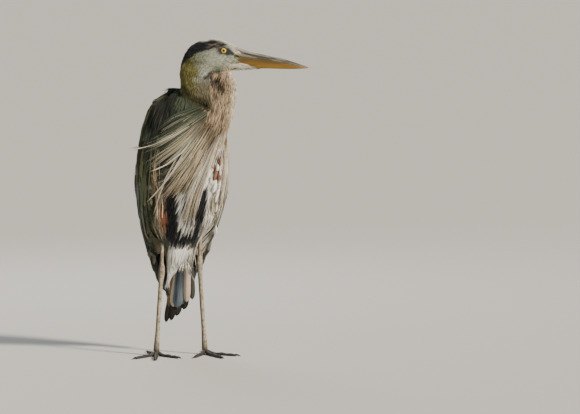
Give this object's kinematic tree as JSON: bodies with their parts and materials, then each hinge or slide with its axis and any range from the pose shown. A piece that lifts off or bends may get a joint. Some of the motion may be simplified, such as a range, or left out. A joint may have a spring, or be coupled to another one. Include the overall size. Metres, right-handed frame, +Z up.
{
  "type": "great blue heron",
  "caption": "Still, life-size grey wading bird standing upright on long thin legs, neck drawn in and head turned to its left, with a long dagger bill and loose breast plumes.",
  "frame": {"origin": "on the floor under the middle of the bird's overall box", "axes": "+Z up from the floor; the breast faces -Y; the bird's left side is +X, and its bill points towards +X and a little towards -Y"},
  "size_m": [0.3728, 0.1984, 0.6732],
  "materials": {
    "face_feather": "fine short pale feathers",
    "neck_feather": "soft streaked grey-brown feathers",
    "body_feather": "soft cream and black streaked feathers",
    "wing_feather": "slate blue-grey covert feathers",
    "flight_feather": "dark blue-grey flight feathers",
    "plume": "long narrow cream plumes",
    "black_feather": "black feathers with a faint blue sheen",
    "thigh_feather": "short chestnut feathers",
    "white_feather": "soft white feathers",
    "bill_upper": "satin grey horn",
    "bill_lower": "satin yellow-orange horn",
    "leg_scale": "scaled grey-tan skin",
    "toe_scale": "scaled dark skin",
    "claw": "satin black horn",
    "eye": "clear wet eye with a yellow iris"
  },
  "bodies": {
    "root": {"trunk": "body_feather", "head": "face_feather", "bill_upper": "bill_upper", "bill_lower": "bill_lower", "eye_left": "eye", "eye_right": "eye", "neck_lower": "neck_feather", "neck_upper": "neck_feather", "crest": "black_feather", "mantle": "wing_feather", "tail": "flight_feather", "undertail": "white_feather", "plumes": "plume", "thigh_left": "thigh_feather", "shank_left": "leg_scale", "toe_left_middle": "toe_scale", "claw_left_middle": "claw", "toe_left_outer": "toe_scale", "claw_left_outer": "claw", "toe_left_inner": "toe_scale", "claw_left_inner": "claw", "toe_left_hind": "toe_scale", "claw_left_hind": "claw", "wing_left_coverts": "wing_feather", "wing_left_secondaries": "flight_feather", "wing_left_primaries": "flight_feather", "thigh_right": "thigh_feather", "shank_right": "leg_scale", "toe_right_middle": "toe_scale", "claw_right_middle": "claw", "toe_right_outer": "toe_scale", "claw_right_outer": "claw", "toe_right_inner": "toe_scale", "claw_right_inner": "claw", "toe_right_hind": "toe_scale", "claw_right_hind": "claw", "wing_right_coverts": "wing_feather", "wing_right_secondaries": "flight_feather", "wing_right_primaries": "flight_feather"}
  },
  "joints": []
}
